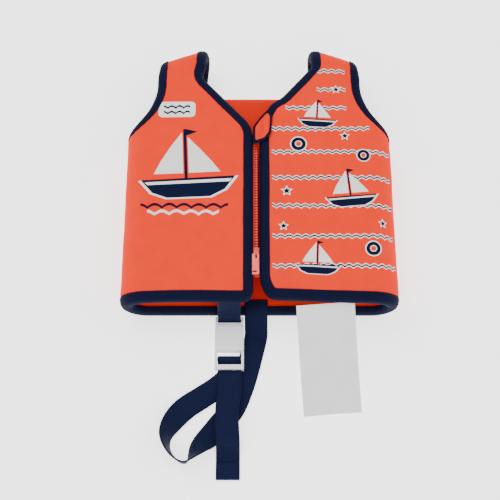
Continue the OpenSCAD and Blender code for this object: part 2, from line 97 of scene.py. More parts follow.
# Lengths of webbing follow these stations: x, y past the hem, lift, roll in degrees
STRAP = (
    (-3.5, 14, 15.4, 0), (-3.5, 4, 15.4, 0), (-3.5, -5, 11, 0), (-3.5, -14, 4.5, 0),
    (-3.5, -22, 0.2, 0), (-5.5, -32, 0, 0), (-9, -46, 0, 0), (-12.5, -60, 0, 0),
    (-18.5, -80, 0, 0), (-28, -103, 0, 0), (-40.7, -118, 0, 2), (-50.4, -130, 0, 6),
    (-60, -141, 0, 26), (-67, -151, 0, 56), (-73.7, -159, 0, 80), (-80, -161, 0, 85),
    (-90, -155, 0, 84), (-97, -144, 0, 78), (-98, -131, 0, 60), (-91, -117, 0, 34),
    (-79, -103, 0, 12), (-62, -91, 0, 3), (-47, -81, 0.6, 0), (-36.5, -72.5, 2, 0),
    (-32.8, -66, 2.1, 0), (-32.5, -61, 2.1, 0), (-32.5, -56, 2.2, 0), (-32.5, -50.1, 2.8, 0),
)
TAIL = (
    (-32.5, -52.6, 6.9, 0), (-32.5, -55, 5, 0), (-32.4, -58, 4.2, 0), (-32, -63, 4.1, 0),
    (-31.5, -73, 4.4, 0), (-32, -86, 6.4, 0), (-34, -100, 7.5, 0), (-34.5, -113, 9, 0),
    (-34, -126, 10.5, 0), (-33.2, -140, 11, 0), (-33.2, -149, 4, 0),
    (-33.2, -155, 0.7, 0), (-33.2, -158, 0, 0), (-33.2, -160, 0, 0),
)


class Frame:
    """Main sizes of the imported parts, in millimetres."""

    def __init__(self):
        self.half_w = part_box("back_cover")[1].x / MM
        self.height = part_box("left_front_cover")[1].z / MM
        self.r = self.height / 2
        self.flat = self.half_w - self.r
        self.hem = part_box("back_hem_binding")[0].y / MM
        self.top = self.hem + VEST_LENGTH
        self.line_y = self.top - self.r
        self.strap_x = (NECK_X + ARM_X) / 2
        self.seam = self.flat + self.r * math.pi / 2


def settings():
    return bpy.context.scene.swim_vest


# ---------- Meshes ----------


def add_mesh(name, verts, faces, uvs=None, smooth=50):
    """A mesh object in metres from points in millimetres; uvs has one pair per vertex."""
    mesh = bpy.data.meshes.new(name)
    mesh.from_pydata([tuple(c * MM for c in v) for v in verts], [], faces)
    if uvs is not None:
        layer = mesh.uv_layers.new(name="flat")
        index = np.empty(len(mesh.loops), dtype=np.int32)
        mesh.loops.foreach_get("vertex_index", index)
        layer.data.foreach_set("uv", np.asarray(uvs, float)[index].ravel())
    mesh.validate()
    mesh.update()
    mesh.shade_smooth()
    mesh.set_sharp_from_angle(angle=math.radians(smooth))
    obj = bpy.data.objects.new(name, mesh)
    bpy.context.scene.collection.objects.link(obj)
    return obj


def inside(points, polygon):
    """Which points lie in a closed polygon."""
    p = np.asarray(points, float)
    q = np.asarray(polygon, float)
    hit = np.zeros(len(p), bool)
    for (x0, y0), (x1, y1) in zip(q, np.roll(q, -1, axis=0)):
        crosses = (y0 > p[:, 1]) != (y1 > p[:, 1])
        if crosses.any():
            x = x0 + (p[:, 1] - y0) * (x1 - x0) / ((y1 - y0) or 1e-9)
            hit ^= crosses & (p[:, 0] < x)
    return hit


def distance(points, run):
    """Distance from each point to an open run of points."""
    p = np.asarray(points, float)
    best = np.full(len(p), 1e9)
    q = np.asarray(run, float)
    for a, b in zip(q[:-1], q[1:]):
        d = b - a
        t = np.clip(((p - a) @ d) / max(d @ d, 1e-9), 0, 1)
        best = np.minimum(best, np.linalg.norm(p - a - t[:, None] * d, axis=1))
    return best


def resample(run, step):
    """The same run of points at an even spacing."""
    q = np.asarray(run, float)
    keep = np.r_[True, np.linalg.norm(np.diff(q, axis=0), axis=1) > 1e-6]
    q = q[keep]
    s = np.r_[0, np.cumsum(np.linalg.norm(np.diff(q, axis=0), axis=1))]
    n = max(2, int(round(s[-1] / step)) + 1)
    t = np.linspace(0, s[-1], n)
    return np.stack([np.interp(t, s, q[:, k]) for k in range(q.shape[1])], axis=1)


def rounded(points, radii):
    """An open run with its inner corners rounded to the given radii."""
    out = [np.array(points[0], float)]
    for i in range(1, len(points) - 1):
        p = np.array(points[i], float)
        a = np.array(points[i - 1], float) - p
        b = np.array(points[i + 1], float) - p
        la, lb = np.linalg.norm(a), np.linalg.norm(b)
        r = min(radii[i - 1], 0.48 * la, 0.48 * lb)
        for k in range(9):
            t = k / 8
            out.append(p + a / la * r * (1 - t) ** 2 + b / lb * r * t**2)
    out.append(np.array(points[-1], float))
    return out


# ---------- Surface of the vest ----------


def mirror_x(points):
    return [(-x, y) for x, y in points]


def line_at(f, x):
    """Height of the line where the shoulders turn over."""
    return f.line_y - (abs(x) - f.strap_x) * math.tan(SLOPE)


def surface(f, points, depth, back=False):
    """Points in 3D of flat-pattern points on one half of the vest, at a depth in the wall."""
    p = np.asarray(points, float)
    n = np.broadcast_to(np.asarray(depth, float), len(p))
    rad = f.r - n
    x, y = p[:, 0].copy(), p[:, 1].copy()
    side = np.where(x < 0, -1.0, 1.0)
    ax = np.abs(x)
    turn = np.clip((ax - f.flat) / f.r, 0, None)
    z = f.r + rad * np.cos(turn)
    ox = np.where(turn > 0, side * (f.flat + rad * np.sin(turn)), x)
    oy = y.copy()
    # Shoulders turn over about a sloping line
    up = np.array([math.sin(SLOPE), math.cos(SLOPE)])
    w = (ax - f.strap_x) * up[0] + (y - f.line_y) * up[1]
    over = (w > 0) & (ax < f.flat + 5) & (y > 100)
    ang = np.clip(w, 0, None) / f.r
    shift = rad * np.sin(ang) - w
    ox = np.where(over, side * (ax + up[0] * shift), ox)
    oy = np.where(over, y + up[1] * shift, oy)
    z = np.where(over, f.r + rad * np.cos(ang), z)
    if back:
        z = f.height - z
    return np.stack([ox, oy, z], axis=1)


def over_shoulder(f, x, w_end, steps=14):
    """Flat-pattern points of an edge that stays at x while it goes over a shoulder."""
    up = np.array([math.sin(SLOPE), math.cos(SLOPE)])
    along = np.array([math.cos(SLOPE), -math.sin(SLOPE)])
    out = []
    for k in range(steps + 1):
        w = w_end * k / steps
        foot_x = x - up[0] * f.r * math.sin(w / f.r)
        t = (foot_x - f.strap_x) / along[0]
        foot = np.array([f.strap_x, f.line_y]) + along * t
        out.append(tuple(foot + up * w))
    return out


def arm_run(f):
    """Armhole edge of the right half, from the side seam up to the top of the shoulder."""
    last = math.acos((ARM_X + ARM_R - f.half_w) / ARM_R)
    out = []
    for k in range(33):
        t = last * (1 - k / 32)
        x = min(ARM_X + ARM_R - ARM_R * math.cos(t), f.half_w)
        y = ARM_Y - ARM_R * math.sin(t)
        if x > f.flat:
            x = f.flat + f.r * math.asin(min((x - f.flat) / f.r, 1))
        out.append((x, y))
    out.append((ARM_X, line_at(f, ARM_X) - 4))
    return out + over_shoulder(f, ARM_X, f.r * math.pi / 2)


def front_run(f, right):
    """Bound edge of a front: hem from the side seam, zip edge, neck, to the top of the shoulder."""
    if right:
        points = [
            (f.seam, f.hem), (140, f.hem - 1.5), (80, f.hem + 0.5), (RIGHT_EDGE + 8, f.hem + 3),
            (RIGHT_EDGE - 0.5, f.hem + 22), (RIGHT_EDGE, -60), (RIGHT_EDGE, CORNER_Y + 4),
            (RIGHT_EDGE + 13, CORNER_Y + 28), (RIGHT_EDGE + 25, CORNER_Y + 35),
            (NECK_X, line_at(f, NECK_X) - 4),
        ]
        radii = (20, 30, 12, 14, 30, 9, 8, 8)
        run = rounded(points, radii) + over_shoulder(f, NECK_X, f.r * math.pi / 2)
        return [(float(x), float(y)) for x, y in run]
    points = [
        (f.seam, f.hem), (140, f.hem - 1), (80, f.hem + 1), (-LEFT_EDGE, f.hem),
        (-LEFT_EDGE, -40), (-LEFT_EDGE, CORNER_Y - 2), (NECK_X + 4, line_at(f, NECK_X) - 18),
        (NECK_X, line_at(f, NECK_X) - 2),
    ]
    radii = (20, 30, 13, 20, 14, 14)
    run = rounded(points, radii) + over_shoulder(f, NECK_X, f.r * math.pi / 2)
    return mirror_x([(float(x), float(y)) for x, y in run])


# ---------- Padded panels ----------


def ripple(p, size):
    """Slow unevenness of stuffed cloth."""
    x, y = p[:, 0], p[:, 1]
    return size * (
        np.sin(x * 0.061 + 0.7) * np.sin(y * 0.047 + 1.1)
        + 0.5 * np.sin(x * 0.13 + y * 0.09 + 2.0)
        + 0.35 * np.sin(y * 0.21 - x * 0.05)
    )


def rolled(d, reach, deep):
    """Depth of a rounded edge at a distance from it."""
    q = np.clip(1 - np.asarray(d, float) / reach, 0, 1)
    return deep * (1 - np.sqrt(1 - q * q))


def panel(f, name, outline, bound, seams, turned=(), prints=(), back=False):
    """A closed padded panel with printed areas; outline is counter-clockwise in the flat pattern."""
    s = settings()
    ring = resample(list(outline) + [outline[0]], 3.0)[:-1]
    nxt, prv = np.roll(ring, -1, axis=0), np.roll(ring, 1, axis=0)
    tangent = nxt - prv
    tangent /= np.linalg.norm(tangent, axis=1)[:, None]
    inward = np.stack([-tangent[:, 1], tangent[:, 0]], axis=1)
    extra = []
    rings = (1.2, 3, 5.2, 7.4, 9.2, 10.3, 11.6, 15)
    for d in rings:
        extra.append(ring + inward * d)
    low, high = ring.min(axis=0), ring.max(axis=0)
    step = s.grid / MM
    gx, gy = np.meshgrid(np.arange(low[0], high[0], step), np.arange(low[1], high[1], step))
    gx[1::2] += step / 2
    grid = np.stack([gx.ravel(), gy.ravel()], axis=1)
    closed = np.vstack([ring, ring[:1]])
    cloud = []
    for k, pts in enumerate(extra + [grid]):
        ok = inside(pts, ring)
        pts = pts[ok]
        gap = (*rings, 17)[k] * 0.92
        cloud.append(pts[distance(pts, closed) > gap])
    verts = [tuple(p) for p in ring]
    edges = [(i, (i + 1) % len(ring)) for i in range(len(ring))]
    for shape, _ in prints:
        base = len(verts)
        verts += [tuple(p) for p in shape]
        edges += [(base + i, base + (i + 1) % len(shape)) for i in range(len(shape))]
    verts += [tuple(p) for p in np.vstack(cloud)]
    res = delaunay_2d_cdt([Vector(v) for v in verts], edges, [], 0, 1e-3)
    flat = np.array([tuple(v) for v in res[0]])
    tris = np.array([list(t) for t in res[2]])
    mid = flat[tris].mean(axis=1)
    tris = tris[inside(mid, ring)]
    mid = flat[tris].mean(axis=1)
    area = np.cross(flat[tris[:, 1]] - flat[tris[:, 0]], flat[tris[:, 2]] - flat[tris[:, 0]])
    tris[area < 0] = tris[area < 0][:, ::-1]
    used, tris = np.unique(tris, return_inverse=True)
    tris = tris.reshape(-1, 3)
    flat = flat[used]

    d = np.min([distance(flat, run) for run in bound], axis=0)
    deep = rolled(d, s.edge_roll / MM, ROLL_DEPTH)
    if turned:
        e = np.min([distance(flat, run) for run in turned], axis=0)
        deep = np.maximum(deep, rolled(e, 8, 7.3))
    seam = np.min([distance(flat, run) for run in seams], axis=0)
    deep = deep + 1.0 * np.clip((10.3 - d) / 1.1, 0, 1)
    groove = 1.1 * np.exp(-((seam / 2.6) ** 2))
    calm = np.clip(np.minimum(d, seam) / 14, 0, 1)
    wave = ripple(flat, s.ripple / MM) * calm
    pucker = 0.35 * np.sin(flat[:, 0] * 0.55) * np.sin(flat[:, 1] * 0.5) * np.exp(-((d - 13) / 5) ** 2)
    shape = deep + groove + wave + pucker
    top = surface(f, flat, np.maximum(shape, 0) if back else shape, back)
    low_deep = WALL - deep - 0.5 * groove
    bottom = surface(f, flat, low_deep, back)
    n = len(flat)
    faces = [tuple(t) for t in tris] + [tuple(n + i for i in t[::-1]) for t in tris]
    kinds = np.zeros(len(tris), int)
    for shape, kind in prints:
        kinds[inside(mid, shape)] = kind
    count = {}
    for t in tris:
        for i in range(3):
            count[(t[i], t[(i + 1) % 3])] = True
    walls = [(a, b) for a, b in count if (b, a) not in count]
    faces += [(b, a, n + a, n + b) for a, b in walls]
    if back:
        faces = [face[::-1] for face in faces]
    uvs = np.vstack([flat, flat]) * MM
    obj = add_mesh(name, np.vstack([top, bottom]), faces, uvs, smooth=75)
    index = np.r_[kinds, np.full(len(tris) + len(walls), LINING)].astype(np.int32)
    for mat in (cover_material(), lining_material(), navy_print(), white_print()):
        obj.data.materials.append(mat)
    if len(obj.data.polygons) == len(index):
        obj.data.polygons.foreach_set("material_index", index)
    else:
        raise RuntimeError(f"{name}: the panel's faces did not all survive")
    return obj


BINDING = (
    (10.6, 1.0), (10.0, -0.5), (8.2, -0.8), (6.0, -0.8), (4.0, -0.8), (2.4, -0.7), (1.2, -0.5),
    (0.4, -0.1),
)


def binding_section(edge_roll):
    """Closed section of a binding: pairs of distance from the edge and depth in the wall."""
    out = []
    for d, lift in BINDING:
        out.append((d, float(rolled(d, edge_roll, ROLL_DEPTH)) + lift))
    out.append((-0.35, 4.8))
    out.append((-0.6, WALL / 2))
    return out + [(d * INNER_SHARE, WALL - n) for d, n in reversed(out[:-1])]


def sweep(f, name, runs, section):
    """Binding along flat-pattern runs; each run is (points, is on the back, side its inside is on)."""
    verts, faces, uvs = [], [], []
    m = len(section)
    for run, back, hand in runs:
        q = resample(run, 2.2)
        t = np.gradient(q, axis=0)
        t /= np.linalg.norm(t, axis=1)[:, None]
        inward = np.stack([-t[:, 1], t[:, 0]], axis=1) * hand
        s = np.r_[0, np.cumsum(np.linalg.norm(np.diff(q, axis=0), axis=1))]
        rings = [
            surface(f, q + inward * d, n + 0.12 * np.sin(s * 1.9 + d), back)
            for d, n in section
        ]
        base = len(verts)
        rows = np.stack(rings, axis=1).reshape(-1, 3)
        verts += rows.tolist()
        for i in range(len(q)):
            uvs += [(s[i] * MM, k / m) for k in range(m)]
        flip = (hand > 0) == back
        for i in range(len(q) - 1):
            for k in range(m):
                a = base + i * m + k
                b = base + i * m + (k + 1) % m
                face = (a, b, b + m, a + m)
                faces.append(face if flip else face[::-1])
        end = base + (len(q) - 1) * m
        cap = tuple(range(base, base + m))
        tail = tuple(range(end, end + m))
        faces += [cap[::-1], tail] if flip else [cap, tail[::-1]]
    return add_mesh(name, verts, faces, uvs, smooth=55)


# ---------- Printed shapes ----------


def wave_band(x0, x1, y, half, period=9.0, high=2.6, steps=8):
    """A scalloped line of a given half width, as a closed shape."""
    count = max(2, int((x1 - x0) / period))
    xs = [x0 + (x1 - x0) * i / (count * steps) for i in range(count * steps + 1)]
    ys = [y + high * (abs(math.cos(math.pi * (x - x0) / period)) - 0.5) for x in xs]
    return [(x, v - half) for x, v in zip(xs, ys)] + [
        (x, v + half) for x, v in reversed(list(zip(xs, ys)))
    ]


def circle(x, y, r, n=28, squash=1.0):
    return [
        (x + r * math.cos(2 * math.pi * i / n), y + squash * r * math.sin(2 * math.pi * i / n))
        for i in range(n)
    ]


def star(x, y, r):
    return [
        (
            x + (r if i % 2 == 0 else r * 0.48) * math.sin(math.pi * i / 5),
            y + (r if i % 2 == 0 else r * 0.48) * math.cos(math.pi * i / 5),
        )
        for i in range(10)
    ]


def moved(shape, x, y, scale, turn=0.0):
    c, s = math.cos(math.radians(turn)), math.sin(math.radians(turn))
    return [(x + scale * (c * a - s * b), y + scale * (s * a + c * b)) for a, b in shape]


HULL = [(-50, -10), (-38, -26), (-22, -33), (24, -33), (40, -25), (52, -10)]
DECK = [(-46, -13), (48, -13), (46, -16.5), (-43, -16.5)]
MAIN_SAIL = [(-4, -4), (-4, 46), (-16, 30), (-28, 12), (-36, -4)]
JIB = [(2, -4), (2, 40), (14, 26), (28, 8), (36, -4)]
MAST = [(-2.6, -10), (0.6, -10), (0.6, 50), (-2.6, 50)]
FLAG = [(0.6, 50), (13, 46), (0.6, 42)]


def boat(x, y, scale, turn=0.0, edge=True):
    """A plain sailing boat: navy hull and mast, white sails."""
    out = []
    if edge:
        out.append((moved(HULL, x, y + 0.6 * scale, scale * 1.07, turn), WHITE))
    out.append((moved(HULL, x, y, scale, turn), NAVY))
    out.append((moved(DECK, x, y, scale, turn), WHITE))
    out.append((moved(MAIN_SAIL, x, y, scale, turn), WHITE))
    out.append((moved(JIB, x, y, scale, turn), WHITE))
    out.append((moved(MAST, x, y, scale, turn), NAVY))
    out.append((moved(FLAG, x, y, scale, turn), NAVY))
    return out


def buoy(x, y, r):
    """A ring buoy in navy and white."""
    out = [(circle(x, y, r), WHITE), (circle(x, y, r * 0.86), NAVY), (circle(x, y, r * 0.42), WHITE)]
    out.append((circle(x, y, r * 0.32), COVER))
    return out


def patch(x, y):
    """A plain rounded patch with two waves."""
    out = []
    pts = []
    for cx, cy, a0 in ((16, 5, 0), (-16, 5, 90), (-16, -5, 180), (16, -5, 270)):
        for k in range(6):
            a = math.radians(a0 + 18 * k)
            pts.append((x + cx + 5 * math.cos(a), y + cy + 5 * math.sin(a)))
    out.append((pts, WHITE))
    out.append((wave_band(x - 15, x + 15, y + 3, 1.2, period=9), NAVY))
    out.append((wave_band(x - 15, x + 15, y - 4, 1.2, period=9), NAVY))
    return out


def left_prints():
    out = boat(-80, 2, 1.02, 3)
    out.append((wave_band(-130, -34, -42, 1.6, period=16, high=4), NAVY))
    out.append((wave_band(-122, -44, -50, 1.6, period=16, high=4), WHITE))
    out += patch(-93, 78)
    return out


def right_prints():
    out = []
    for y in (128, 104, 80, 53, 24, -8, -42, -78, -112):
        x0 = 30 if y < 90 else 66
        x0 = 14 if y < 78 else x0
        x1 = 150 if y < 50 else (124 if y < 78 else 99)
        out.append((wave_band(x0, x1, y, 2.1), WHITE))
        out.append((wave_band(x0, x1, y, 0.9), NAVY))
    out += boat(66, 70, 0.42, -4) + boat(100, -24, 0.55, 5) + boat(62, -106, 0.46, -3)
    out += buoy(44, 34, 9.5) + buoy(116, 20, 8) + buoy(122, -92, 9)
    for x, y, r in ((30, -24, 7), (96, 44, 6), (88, 104, 6), (134, -62, 6), (26, -66, 6)):
        out.append((star(x, y, r), WHITE))
        out.append((star(x, y, r * 0.62), NAVY))
    return out


# ---------- Materials ----------


def new_material(name):
    mat = bpy.data.materials.get(name)
    if mat:
        return mat, None, None
    mat = bpy.data.materials.new(name)
    mat.use_nodes = True
    tree = mat.node_tree
    return mat, tree, tree.nodes["Principled BSDF"]


def cloth_group():
    """Shared effect: weave and soft unevenness of a cloth, as a colour and a normal."""
    group = bpy.data.node_groups.get("Cloth")
    if group:
        return group
    group = bpy.data.node_groups.new("Cloth", "ShaderNodeTree")
    face = group.interface
    face.new_socket("Colour", in_out="INPUT", socket_type="NodeSocketColor")
    face.new_socket("Threads per metre", in_out="INPUT", socket_type="NodeSocketFloat")
    face.new_socket("Depth", in_out="INPUT", socket_type="NodeSocketFloat")
    face.new_socket("Colour", in_out="OUTPUT", socket_type="NodeSocketColor")
    face.new_socket("Normal", in_out="OUTPUT", socket_type="NodeSocketVector")
    n, link = group.nodes, group.links
    gin, gout = n.new("NodeGroupInput"), n.new("NodeGroupOutput")
    coord = n.new("ShaderNodeTexCoord")
    noise = n.new("ShaderNodeTexNoise")
    noise.inputs["Scale"].default_value = 55
    noise.inputs["Detail"].default_value = 4
    link.new(coord.outputs["Object"], noise.inputs["Vector"])
    shade = n.new("ShaderNodeMapRange")
    shade.inputs["To Min"].default_value = 0.9
    shade.inputs["To Max"].default_value = 1.06
    link.new(noise.outputs["Fac"], shade.inputs["Value"])
    tint = n.new("ShaderNodeVectorMath")
    tint.operation = "SCALE"
    link.new(gin.outputs["Colour"], tint.inputs[0])
    link.new(shade.outputs["Result"], tint.inputs["Scale"])
    link.new(tint.outputs["Vector"], gout.inputs["Colour"])
    threads = n.new("ShaderNodeTexNoise")
    threads.inputs["Detail"].default_value = 2
    link.new(coord.outputs["Object"], threads.inputs["Vector"])
    link.new(gin.outputs["Threads per metre"], threads.inputs["Scale"])
    bump = n.new("ShaderNodeBump")
    bump.inputs["Distance"].default_value = 0.0004
    link.new(gin.outputs["Depth"], bump.inputs["Strength"])
    link.new(threads.outputs["Fac"], bump.inputs["Height"])
    link.new(bump.outputs["Normal"], gout.inputs["Normal"])
    return group


def cloth_material(name, colour, rough=0.85, threads=1400, depth=0.35, sheen=0.25):
    mat, tree, bsdf = new_material(name)
    if tree is None:
        return mat
    node = tree.nodes.new("ShaderNodeGroup")
    node.node_tree = cloth_group()
    node.inputs["Colour"].default_value = (*colour, 1)
    node.inputs["Threads per metre"].default_value = threads
    node.inputs["Depth"].default_value = depth
    tree.links.new(node.outputs["Colour"], bsdf.inputs["Base Color"])
    tree.links.new(node.outputs["Normal"], bsdf.inputs["Normal"])
    bsdf.inputs["Roughness"].default_value = rough
    bsdf.inputs["Sheen Weight"].default_value = sheen
    bsdf.inputs["Specular IOR Level"].default_value = 0.08
    return mat


def cover_material():
    return cloth_material("Cover", (0.90, 0.030, 0.004), sheen=0.0)


def lining_material():
    return cloth_material("Lining", (0.78, 0.022, 0.003), sheen=0.0)


def navy_print():
    return cloth_material("Navy print", (0.003, 0.006, 0.028), sheen=0.0)


def white_print():
    return cloth_material("White print", (0.86, 0.85, 0.83))


def binding_material():
    return cloth_material("Binding", (0.003, 0.005, 0.024), rough=0.8, threads=2200, depth=0.5,
                          sheen=0.0)


def label_material():
    return cloth_material("Label", (0.86, 0.86, 0.86), rough=0.6, threads=2500, depth=0.2, sheen=0.1)


def webbing_material():
    """Navy webbing with ribs across its length, its colour lighter on each rib and darker between ribs as
    painted highlight and painted shade.
    """
    mat, tree, bsdf = new_material("Webbing")
    if tree is None:
        return mat
    n, link = tree.nodes, tree.links
    coord = n.new("ShaderNodeUVMap")
    coord.uv_map = "flat"
    split = n.new("ShaderNodeSeparateXYZ")
    link.new(coord.outputs["UV"], split.inputs[0])
    ribs = n.new("ShaderNodeMath")
    ribs.operation = "MULTIPLY"
    ribs.inputs[1].default_value = 2 * math.pi / 0.0016
    link.new(split.outputs["X"], ribs.inputs[0])
    wave = n.new("ShaderNodeMath")
    wave.operation = "SINE"
    link.new(ribs.outputs[0], wave.inputs[0])
    # Painted shade and highlight: the colour rises and falls with the rib wave, darker in the grooves and
    # lighter on the crests
    tint = n.new("ShaderNodeMapRange")
    tint.inputs["From Min"].default_value = -1
    tint.inputs["To Min"].default_value = 0.75
    tint.inputs["To Max"].default_value = 1.2
    link.new(wave.outputs[0], tint.inputs["Value"])
    colour = n.new("ShaderNodeVectorMath")
    colour.operation = "SCALE"
    colour.inputs[0].default_value = (0.003, 0.006, 0.034)
    link.new(tint.outputs["Result"], colour.inputs["Scale"])
    link.new(colour.outputs["Vector"], bsdf.inputs["Base Color"])
    bump = n.new("ShaderNodeBump")
    bump.inputs["Strength"].default_value = 0.5
    bump.inputs["Distance"].default_value = 0.0003
    link.new(wave.outputs[0], bump.inputs["Height"])
    link.new(bump.outputs["Normal"], bsdf.inputs["Normal"])
    bsdf.inputs["Roughness"].default_value = 0.7
    bsdf.inputs["Specular IOR Level"].default_value = 0.12
    return mat


def plastic_material(name, colour, rough, depth):
    mat, tree, bsdf = new_material(name)
    if tree is None:
        return mat
    n, link = tree.nodes, tree.links
    coord = n.new("ShaderNodeTexCoord")
    noise = n.new("ShaderNodeTexNoise")
    noise.inputs["Scale"].default_value = 600
    link.new(coord.outputs["Object"], noise.inputs["Vector"])
    rng = n.new("ShaderNodeMapRange")
    rng.inputs["To Min"].default_value = rough * 0.8
    rng.inputs["To Max"].default_value = rough * 1.2
    link.new(noise.outputs["Fac"], rng.inputs["Value"])
    link.new(rng.outputs["Result"], bsdf.inputs["Roughness"])
    bump = n.new("ShaderNodeBump")
    bump.inputs["Strength"].default_value = depth
    bump.inputs["Distance"].default_value = 0.0001
    link.new(noise.outputs["Fac"], bump.inputs["Height"])
    link.new(bump.outputs["Normal"], bsdf.inputs["Normal"])
    bsdf.inputs["Base Color"].default_value = (*colour, 1)
    return mat


def paint(obj, mat):
    obj.data.materials.clear()
    obj.data.materials.append(mat)
    return obj


def soften(obj, width):
    """Rounds the sharp edges of a moulded part."""
    mod = obj.modifiers.new("Edges", "BEVEL")
    mod.width = width
    mod.segments = 2
    mod.limit_method = "ANGLE"
    mod.angle_limit = math.radians(40)
    mod.harden_normals = False
    return obj


# ---------- Webbing ----------


def smooth_path(stations, steps):
    """Catmull-Rom curve through the stations."""
    p = np.asarray(stations, float)
    out = []
    last = len(p) - 1
    for i in range(last):
        a, b, c, d = p[max(i - 1, 0)], p[i], p[i + 1], p[min(i + 2, last)]
        for k in range(steps):
            t = k / steps
            out.append(
                0.5
                * (
                    2 * b
                    + (c - a) * t
                    + (2 * a - 5 * b + 4 * c - d) * t * t
                    + (3 * b - a - 3 * c + d) * t**3
                )
            )
    out.append(p[last])
    return np.array(out)


def centre_line(f, stations, steps, width, thick):
    """(middle points, across directions) of webbing along its stations."""
    q = smooth_path(stations, steps)
    roll = np.radians(q[:, 3])
    z = q[:, 2] + width / 2 * np.sin(roll) + thick / 2 * np.cos(roll) + 0.3
    mid = np.stack([q[:, 0], f.hem + q[:, 1], z], axis=1)
    t = np.gradient(mid, axis=0)
    head = t[:, :2] / np.linalg.norm(t[:, :2], axis=1)[:, None]
    flat_side = np.stack([-head[:, 1], head[:, 0], np.zeros(len(q))], axis=1)
    side = flat_side * np.cos(roll)[:, None] + np.array([0, 0, 1.0]) * np.sin(roll)[:, None]
    t /= np.linalg.norm(t, axis=1)[:, None]
    side -= t * (side * t).sum(axis=1)[:, None]
    side /= np.linalg.norm(side, axis=1)[:, None]
    return mid, side


def ribbon(name, mid, side, up, width, thick):
    """Webbing with rounded selvedges along a middle line."""
    m = []
    for k in range(7):
        x = -1 + 2 * k / 6
        m.append((x * (width / 2 - 0.5), 0.5))
    section = [(-width / 2, 0.0)] + m + [(width / 2, 0.0)] + [(x, -h) for x, h in reversed(m)]
    n = len(section)
    verts, uvs, faces = [], [], []
    s = np.r_[0, np.cumsum(np.linalg.norm(np.diff(mid, axis=0), axis=1))]
    for i in range(len(mid)):
        for x, h in section:
            verts.append(mid[i] + side[i] * x + up[i] * h * thick)
            uvs.append((s[i] * MM, (x / width + 0.5)))
    for i in range(len(mid) - 1):
        for k in range(n):
            a, b = i * n + k, i * n + (k + 1) % n
            faces.append((a, a + n, b + n, b))
    faces.append(tuple(range(n)))
    faces.append(tuple(range((len(mid) - 1) * n, len(mid) * n))[::-1])
    obj = add_mesh(name, verts, faces, uvs, smooth=60)
    return paint(obj, webbing_material()), float(s[-1])


def flat_ribbon(name, path, width, thick):
    """Webbing that bends only about the X axis."""
    path = np.asarray(path, float)
    t = np.gradient(path, axis=0)
    t /= np.linalg.norm(t, axis=1)[:, None]
    across = np.tile([1.0, 0, 0], (len(path), 1))
    obj, _ = ribbon(name, path, across, np.cross(t, across), width, thick)
    return obj or obj


# ---------- Operators ----------


class VEST_OT_panels(bpy.types.Operator):
    """Builds the padded fronts and back with their prints"""

    bl_idname = "vest.panels"
    bl_label = "Padded panels"

    def execute(self, context):
        f = Frame()
        arm = arm_run(f)
        for right in (False, True):
            run = front_run(f, right)
            hole = arm if right else mirror_x(arm)
            seam = [(f.seam, f.hem), arm[0]]
            seam = seam if right else mirror_x(seam)
            crest = [hole[-1], run[-1]]
            loop = list(run) + list(hole[::-1])
            ring = np.array(loop)
            x, y = ring[:, 0], ring[:, 1]
            if (x * np.roll(y, -1) - np.roll(x, -1) * y).sum() < 0:
                loop = loop[::-1]
            prints = right_prints() if right else left_prints()
            name = "right_front_panel" if right else "left_front_panel"
            obj = panel(f, name, loop, (run, hole), (seam, crest), prints=prints)
            side = "right" if right else "left"
            names = [f"{side}_{p}_{q}" for p in ("front", "shoulder") for q in ("cover", "foam", "lining")]
            if right:
                names += [f"right_corner_{q}" for q in ("cover", "foam", "lining")]
                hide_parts(*names)
                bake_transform(obj)
            else:
                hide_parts(*names)
                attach(obj, "vest")
        hem = [(-f.seam, f.hem), (f.seam, f.hem)]
        crest_x = over_shoulder(f, NECK_X, f.r * math.pi / 2)
        neck = rounded(
            [(NECK_X, line_at(f, NECK_X)), (NECK_X, BACK_NECK_Y), (-NECK_X, BACK_NECK_Y),
             (-NECK_X, line_at(f, NECK_X))],
            (24, 24),
        )
        neck = crest_x[::-1] + [tuple(p) for p in neck] + mirror_x(crest_x)
        loop = hem + list(arm) + neck + mirror_x(arm)[::-1]
        seams = ([(f.seam, f.hem), arm[0]], mirror_x([(f.seam, f.hem), arm[0]]),
                 [arm[-1], crest_x[-1]], mirror_x([arm[-1], crest_x[-1]]))
        obj = panel(f, "back_panel", loop, (hem, arm, mirror_x(arm)), seams, turned=(neck,), back=True)
        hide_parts("back_cover", "back_foam", "back_lining")
        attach(obj, "vest")
        return {"FINISHED"}


class VEST_OT_bindings(bpy.types.Operator):
    """Sweeps the navy bindings along every bound edge"""

    bl_idname = "vest.bindings"
    bl_label = "Edge bindings"

    def execute(self, context):
        f = Frame()
        section = binding_section(settings().edge_roll / MM)
        mat = binding_material()
        neck = over_shoulder(f, NECK_X, f.r * math.pi / 2)[::-1] + [(NECK_X, line_at(f, NECK_X) - 8)]
        arm = arm_run(f)
        left = sweep(
            f, "left_front_binding",
            [(front_run(f, False), False, 1), (mirror_x(neck), True, -1)], section,
        )
        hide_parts("left_hem_binding", "left_edge_binding", "left_neck_binding")
        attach(left, "vest")
        right = sweep(f, "right_front_binding", [(front_run(f, True), False, -1)], section)
        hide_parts("right_hem_binding", "right_side_hem_binding", "right_edge_binding",
                    "right_neck_binding")
        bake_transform(right)
        collar = sweep(f, "right_neck_back_binding", [(neck, True, 1)], section)
        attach(collar, "vest")
        hem = sweep(f, "back_hem_trim", [([(-f.seam, f.hem), (f.seam, f.hem)], True, 1)], section)
        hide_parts("back_hem_binding")
        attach(hem, "vest")
        objs = [left, right, collar, hem]
        for name, run, hand in (("left", mirror_x(arm), -1), ("right", arm, 1)):
            o = sweep(f, f"{name}_armhole_trim", [(run, False, hand), (run, True, hand)], section)
            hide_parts(f"{name}_armhole_binding", f"{name}_armhole_top_binding",
                        f"{name}_armhole_back_binding")
            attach(o, "vest")
            objs.append(o)
        for o in objs:
            paint(o, mat)
        return {"FINISHED"}


